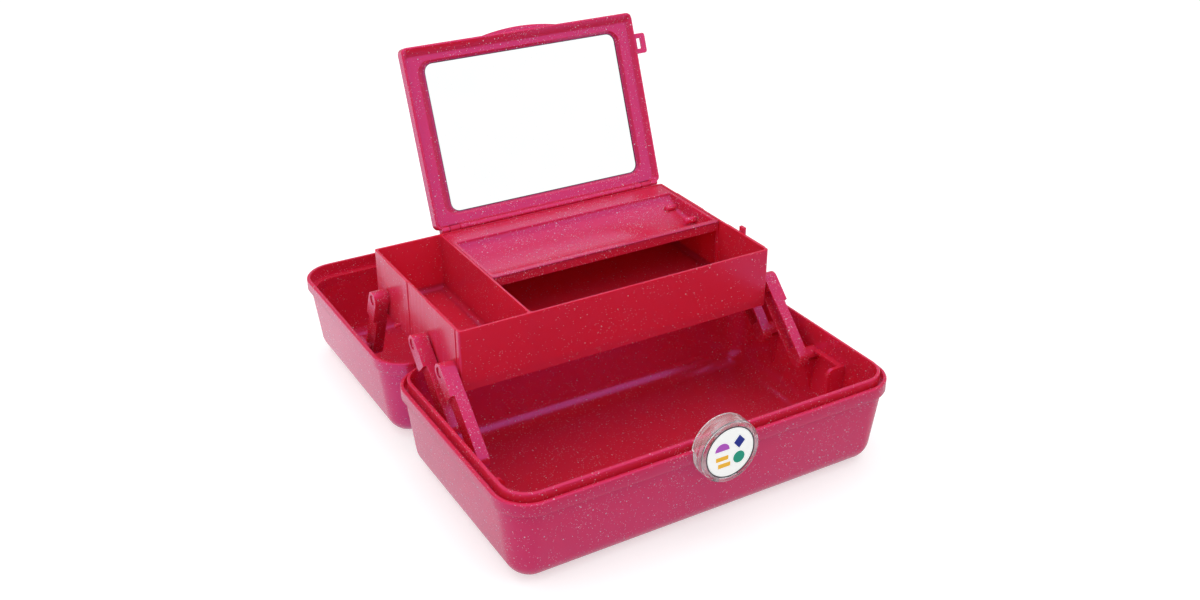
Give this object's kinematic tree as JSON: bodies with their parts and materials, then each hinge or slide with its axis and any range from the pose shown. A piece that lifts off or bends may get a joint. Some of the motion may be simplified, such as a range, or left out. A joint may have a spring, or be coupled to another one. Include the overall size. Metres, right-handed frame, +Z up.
{
  "type": "makeup storage case",
  "caption": "Hinged two-half makeup case whose opening lid lifts a divided tray with a flip-up mirror; round snap latch and folding carry handle.",
  "frame": {"origin": "on the floor under the middle of the base half", "axes": "+X along the case to the right seen from the front, +Y from the latch towards the lid half, +Z up"},
  "size_m": [0.34, 0.4343, 0.2868],
  "materials": {
    "case_plastic": "pink injection moulding with fine silver glitter",
    "tray_plastic": "pink injection moulding with fine silver glitter",
    "arm_plastic": "pink injection moulding with fine silver glitter",
    "frame_plastic": "pink injection moulding with fine silver glitter",
    "back_plastic": "pink injection moulding with fine silver glitter",
    "handle_plastic": "pink injection moulding with fine silver glitter",
    "mirror_glass": "silvered float glass",
    "steel": "drawn wire",
    "clear_plastic": "clear injection moulding",
    "disc_plastic": "white printed disc",
    "ring_rubber": "thin dark seal"
  },
  "bodies": {
    "base": {"base_shell": "case_plastic", "case_pin_left": "steel", "case_pin_right": "steel", "latch_pin": "steel"},
    "lid": {"lid_shell": "case_plastic", "handle_pin_left": "steel", "handle_pin_right": "steel"},
    "front_arms": {"front_arm_left": "arm_plastic", "front_arm_right": "arm_plastic"},
    "mid_arms": {"mid_arm_left": "arm_plastic", "mid_arm_right": "arm_plastic"},
    "tray": {"tray": "tray_plastic", "sub_tray": "tray_plastic", "mirror_pin_left": "steel", "mirror_pin_right": "steel"},
    "rear_arms": {"rear_arm_left": "arm_plastic", "rear_arm_right": "arm_plastic"},
    "mirror": {"mirror_frame": "frame_plastic", "mirror_glass": "mirror_glass", "mirror_back": "back_plastic"},
    "latch": {"latch_body": "clear_plastic", "latch_disc": "disc_plastic", "latch_ring": "ring_rubber"},
    "handle": {"handle": "handle_plastic"}
  },
  "joints": [
    {"name": "lid_hinge", "type": "hinge", "parent": "base", "child": "lid", "pos_m": [0, 0.1075, 0.0752], "axis": [1, 0, 0], "range_deg": [0, 180]},
    {"name": "front_arm_hinge", "type": "hinge", "parent": "base", "child": "front_arms", "pos_m": [0, -0.00797, 0.05509], "axis": [1, 0, 0], "range_deg": [0, 113.4]},
    {"name": "mid_arm_hinge", "type": "hinge", "parent": "base", "child": "mid_arms", "pos_m": [0, 0.04203, 0.05509], "axis": [1, 0, 0], "range_deg": [0, 113.4]},
    {"name": "tray_pivot", "type": "hinge", "parent": "front_arms", "child": "tray", "pos_m": [0, 0.0423, 0.1038], "axis": [1, 0, 0], "range_deg": [-113.4, 0]},
    {"name": "rear_arm_pivot", "type": "hinge", "parent": "tray", "child": "rear_arms", "pos_m": [0, 0.1744, 0.1046], "axis": [1, 0, 0], "range_deg": [0, 224.3]},
    {"name": "mirror_hinge", "type": "hinge", "parent": "tray", "child": "mirror", "pos_m": [0, 0.1996, 0.1396], "axis": [1, 0, 0], "range_deg": [0, 110.8]},
    {"name": "latch_pivot", "type": "hinge", "parent": "base", "child": "latch", "pos_m": [0, -0.107, 0.0535], "axis": [1, 0, 0], "range_deg": [0, 80]},
    {"name": "handle_hinge", "type": "hinge", "parent": "lid", "child": "handle", "pos_m": [0, 0.197, 0.005], "axis": [-1, 0, 0], "range_deg": [0, 90]}
  ],
  "couplings": [
    {"joint": "front_arm_hinge", "follows": "lid_hinge", "ratio": 0.63},
    {"joint": "mid_arm_hinge", "follows": "lid_hinge", "ratio": 0.63},
    {"joint": "tray_pivot", "follows": "lid_hinge", "ratio": -0.63},
    {"joint": "rear_arm_pivot", "follows": "lid_hinge", "ratio": 1.2461},
    {"joint": "mirror_hinge", "follows": "lid_hinge", "ratio": 0.61556}
  ]
}
